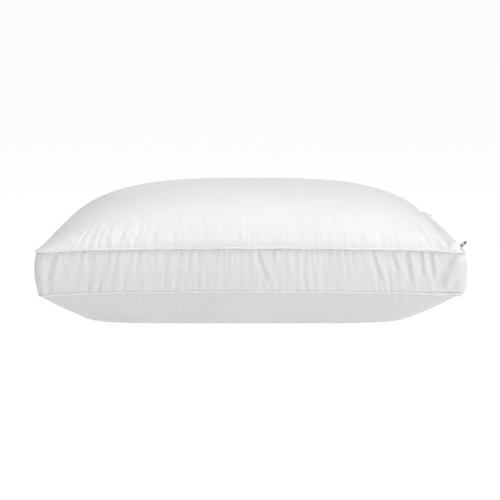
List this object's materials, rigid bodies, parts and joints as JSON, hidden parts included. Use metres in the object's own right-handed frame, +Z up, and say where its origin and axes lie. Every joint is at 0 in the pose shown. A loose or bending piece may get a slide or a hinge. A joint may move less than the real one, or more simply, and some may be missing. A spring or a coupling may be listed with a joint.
{
  "type": "bed pillow",
  "caption": "Gusseted bed pillow with a crowned top and bottom, piped seams, a side band and a zip along one end.",
  "frame": {"origin": "centre of the flat patch of the underside, on the surface the pillow lies on", "axes": "+X along the long side towards the zipped end, +Y from the front to the back, +Z up"},
  "size_m": [0.647, 0.4724, 0.2063],
  "materials": {
    "cover_sateen": "white cotton sateen, soft sheen",
    "band_sateen": "white cotton sateen band, puckered at both seams",
    "piping_sateen": "white bias-cut sateen over a cord",
    "piping_cord": "white twisted cotton filler cord",
    "zip_tape": "white woven polyester tape",
    "zip_coil": "white nylon coil",
    "zip_metal": "dark nickel, satin",
    "label_satin": "white satin ribbon, blank",
    "lining": "white non-woven lining",
    "fibre_fill": "white polyester fibre"
  },
  "bodies": {
    "pillow": {"top_panel": "cover_sateen", "bottom_panel": "cover_sateen", "gusset_band": "band_sateen", "upper_piping_cover": "piping_sateen", "upper_piping_cord": "piping_cord", "lower_piping_cover": "piping_sateen", "lower_piping_cord": "piping_cord", "zip_fly": "cover_sateen", "zip_tape_inner": "zip_tape", "zip_tape_outer": "zip_tape", "zip_coil_inner": "zip_coil", "zip_coil_outer": "zip_coil", "zip_top_stop": "zip_metal", "zip_bottom_stop": "zip_metal", "care_label": "label_satin", "liner_upper": "lining", "liner_lower": "lining", "fill_core": "fibre_fill"},
    "slider": {"zip_slider": "zip_metal"},
    "pull": {"zip_pull": "zip_metal"}
  },
  "joints": [
    {"name": "slider_travel", "type": "slide", "parent": "pillow", "child": "slider", "axis": [0, 1, 0], "range_m": [0, 0.405]},
    {"name": "pull_swing", "type": "hinge", "parent": "slider", "child": "pull", "pos_m": [0.31793, -0.209, 0.12412], "axis": [0.6428, 0, -0.766], "range_deg": [-85, 85]}
  ]
}
